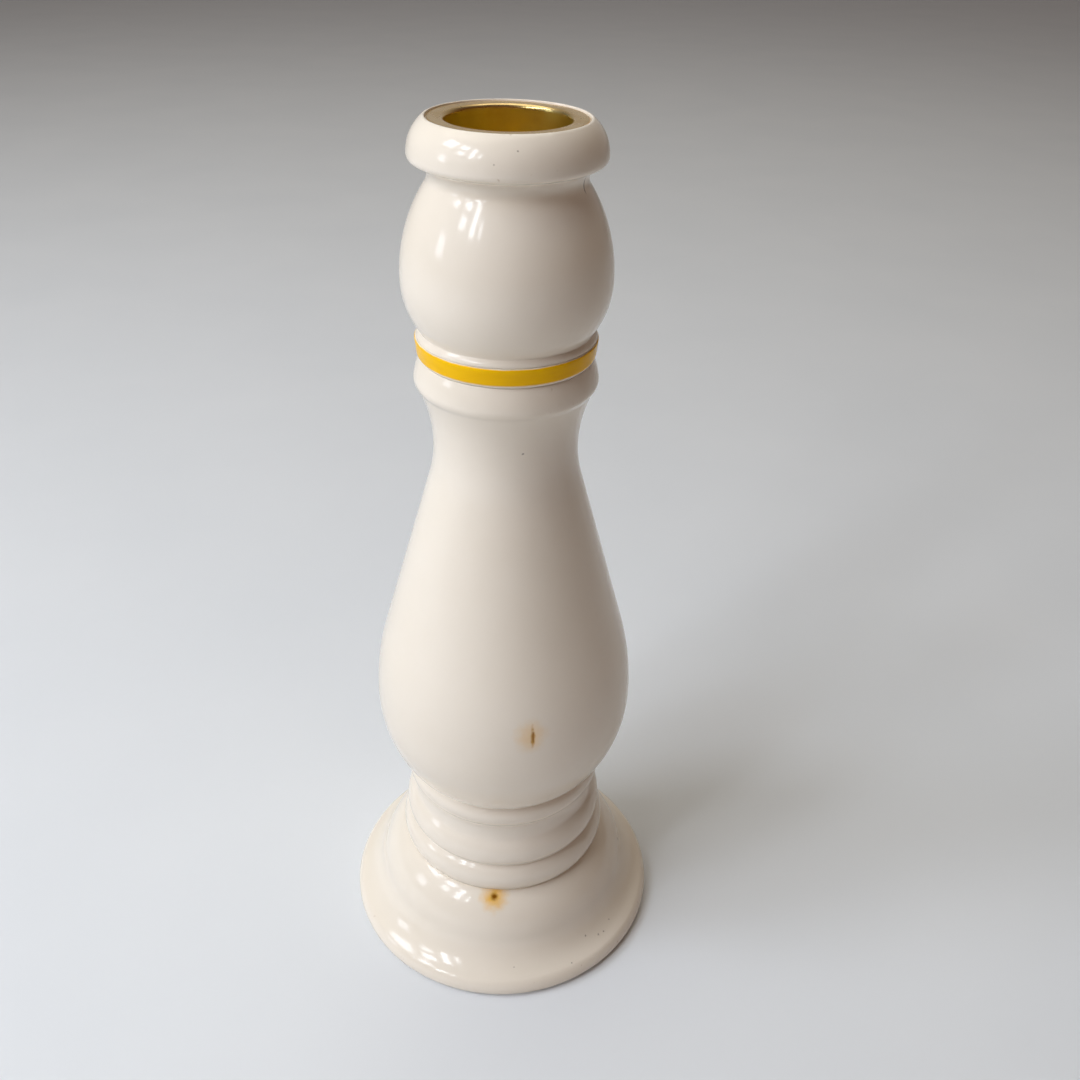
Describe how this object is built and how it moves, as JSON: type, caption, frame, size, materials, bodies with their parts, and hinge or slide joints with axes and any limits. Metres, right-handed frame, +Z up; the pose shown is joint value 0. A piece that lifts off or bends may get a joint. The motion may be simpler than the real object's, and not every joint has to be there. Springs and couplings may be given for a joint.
{
  "type": "candlestick",
  "caption": "Turned wooden candlestick in white enamel: flared foot, beaded baluster stem, yellow ring, bulb-shaped head and a lift-out brass cup for a household candle.",
  "frame": {"origin": "centre of the underside, on the surface that the candlestick stands on", "axes": "+Z up along the lathe axis, out of the candle cup's mouth"},
  "size_m": [0.0772, 0.0772, 0.1953],
  "materials": {
    "white_enamel": "turned softwood under warm white gloss enamel",
    "yellow_enamel": "turned wood under yellow gloss enamel",
    "bare_hardwood": "bare beech dowel",
    "spun_brass": "spun brass sheet, satin flange, brighter inside",
    "zinc_steel": "zinc-plated steel",
    "green_felt": "pressed wool felt"
  },
  "bodies": {
    "stand": {"foot": "white_enamel", "stem": "white_enamel", "neck_ring": "yellow_enamel", "head": "white_enamel", "head_dowel": "bare_hardwood", "foot_screw": "zinc_steel", "screw_washer": "zinc_steel", "felt_pad": "green_felt"},
    "cup": {"candle_cup": "spun_brass"}
  },
  "joints": [
    {"name": "cup_lift", "type": "slide", "parent": "stand", "child": "cup", "axis": [0, 0, 1], "range_m": [0, 0.03]}
  ]
}
